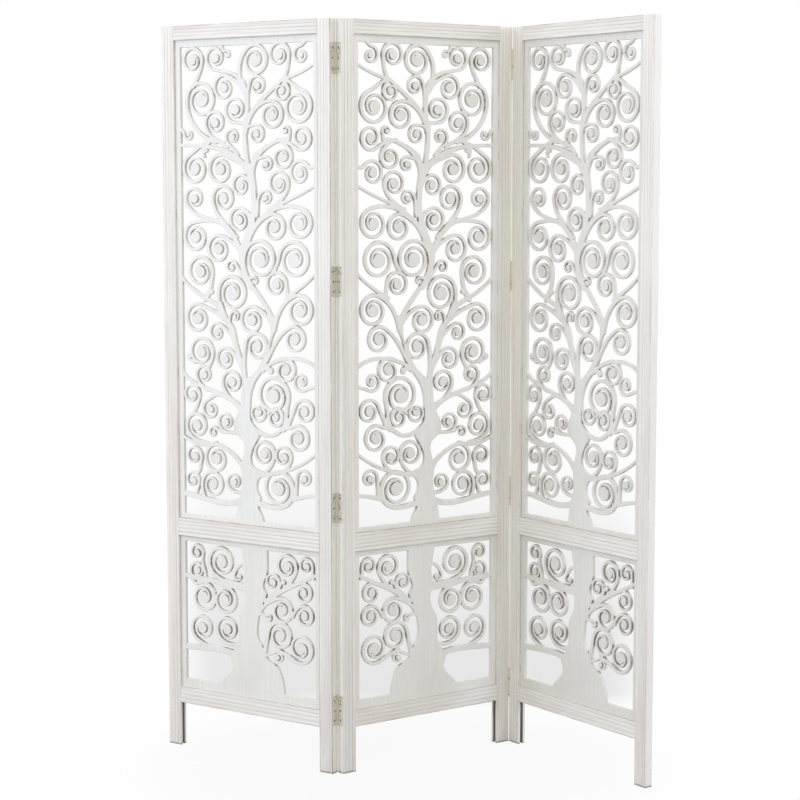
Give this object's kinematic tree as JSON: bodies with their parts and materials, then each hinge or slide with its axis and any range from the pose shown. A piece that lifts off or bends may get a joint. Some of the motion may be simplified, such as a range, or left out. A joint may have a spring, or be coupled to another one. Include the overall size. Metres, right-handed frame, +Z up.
{
  "type": "carved jali folding screen",
  "caption": "Folding room screen of hinged wooden panels, each a slender frame round two pierced boards cut as a tree of scrolls, standing in a zigzag on its stiles.",
  "frame": {"origin": "on the floor, in the middle of the footprint of the standing screen", "axes": "+Z up; the viewer looks along +Y; +X to the viewer's right"},
  "size_m": [1.201, 0.4364, 1.83],
  "materials": {
    "frame_wood": "distressed antique white paint",
    "carved_boards": "distressed antique white paint over carving",
    "hinge_leaves": "aged, dull",
    "hinge_pins": "aged, dull",
    "screws": "aged, dull"
  },
  "bodies": {
    "centre_panel": {"centre_left_stile": "frame_wood", "centre_right_stile": "frame_wood", "centre_bottom_rail": "frame_wood", "centre_middle_rail": "frame_wood", "centre_top_rail": "frame_wood", "left_hinge_top_leaf_centre": "hinge_leaves", "left_hinge_top_pin": "hinge_pins", "left_hinge_upper_leaf_centre": "hinge_leaves", "left_hinge_upper_pin": "hinge_pins", "left_hinge_lower_leaf_centre": "hinge_leaves", "left_hinge_lower_pin": "hinge_pins", "left_hinge_bottom_leaf_centre": "hinge_leaves", "left_hinge_bottom_pin": "hinge_pins", "left_hinge_screws_centre": "screws", "right_hinge_top_leaf_centre": "hinge_leaves", "right_hinge_top_pin": "hinge_pins", "right_hinge_upper_leaf_centre": "hinge_leaves", "right_hinge_upper_pin": "hinge_pins", "right_hinge_lower_leaf_centre": "hinge_leaves", "right_hinge_lower_pin": "hinge_pins", "right_hinge_bottom_leaf_centre": "hinge_leaves", "right_hinge_bottom_pin": "hinge_pins", "right_hinge_screws_centre": "screws", "centre_lower_fretwork": "carved_boards", "centre_upper_fretwork": "carved_boards"},
    "left_panel": {"left_left_stile": "frame_wood", "left_right_stile": "frame_wood", "left_bottom_rail": "frame_wood", "left_middle_rail": "frame_wood", "left_top_rail": "frame_wood", "left_hinge_top_leaf_left": "hinge_leaves", "left_hinge_upper_leaf_left": "hinge_leaves", "left_hinge_lower_leaf_left": "hinge_leaves", "left_hinge_bottom_leaf_left": "hinge_leaves", "left_hinge_screws_left": "screws", "left_lower_fretwork": "carved_boards", "left_upper_fretwork": "carved_boards"},
    "right_panel": {"right_left_stile": "frame_wood", "right_right_stile": "frame_wood", "right_bottom_rail": "frame_wood", "right_middle_rail": "frame_wood", "right_top_rail": "frame_wood", "right_hinge_top_leaf_right": "hinge_leaves", "right_hinge_upper_leaf_right": "hinge_leaves", "right_hinge_lower_leaf_right": "hinge_leaves", "right_hinge_bottom_leaf_right": "hinge_leaves", "right_hinge_screws_right": "screws", "right_lower_fretwork": "carved_boards", "right_upper_fretwork": "carved_boards"}
  },
  "joints": [
    {"name": "left_fold", "type": "hinge", "parent": "centre_panel", "child": "left_panel", "pos_m": [-0.15668, -0.08186, 0], "axis": [0, 0, 1], "range_deg": [-111, 69]},
    {"name": "right_fold", "type": "hinge", "parent": "centre_panel", "child": "right_panel", "pos_m": [0.27823, 0.2001, 0], "axis": [0, 0, 1], "range_deg": [-90.5, 89.5]}
  ]
}
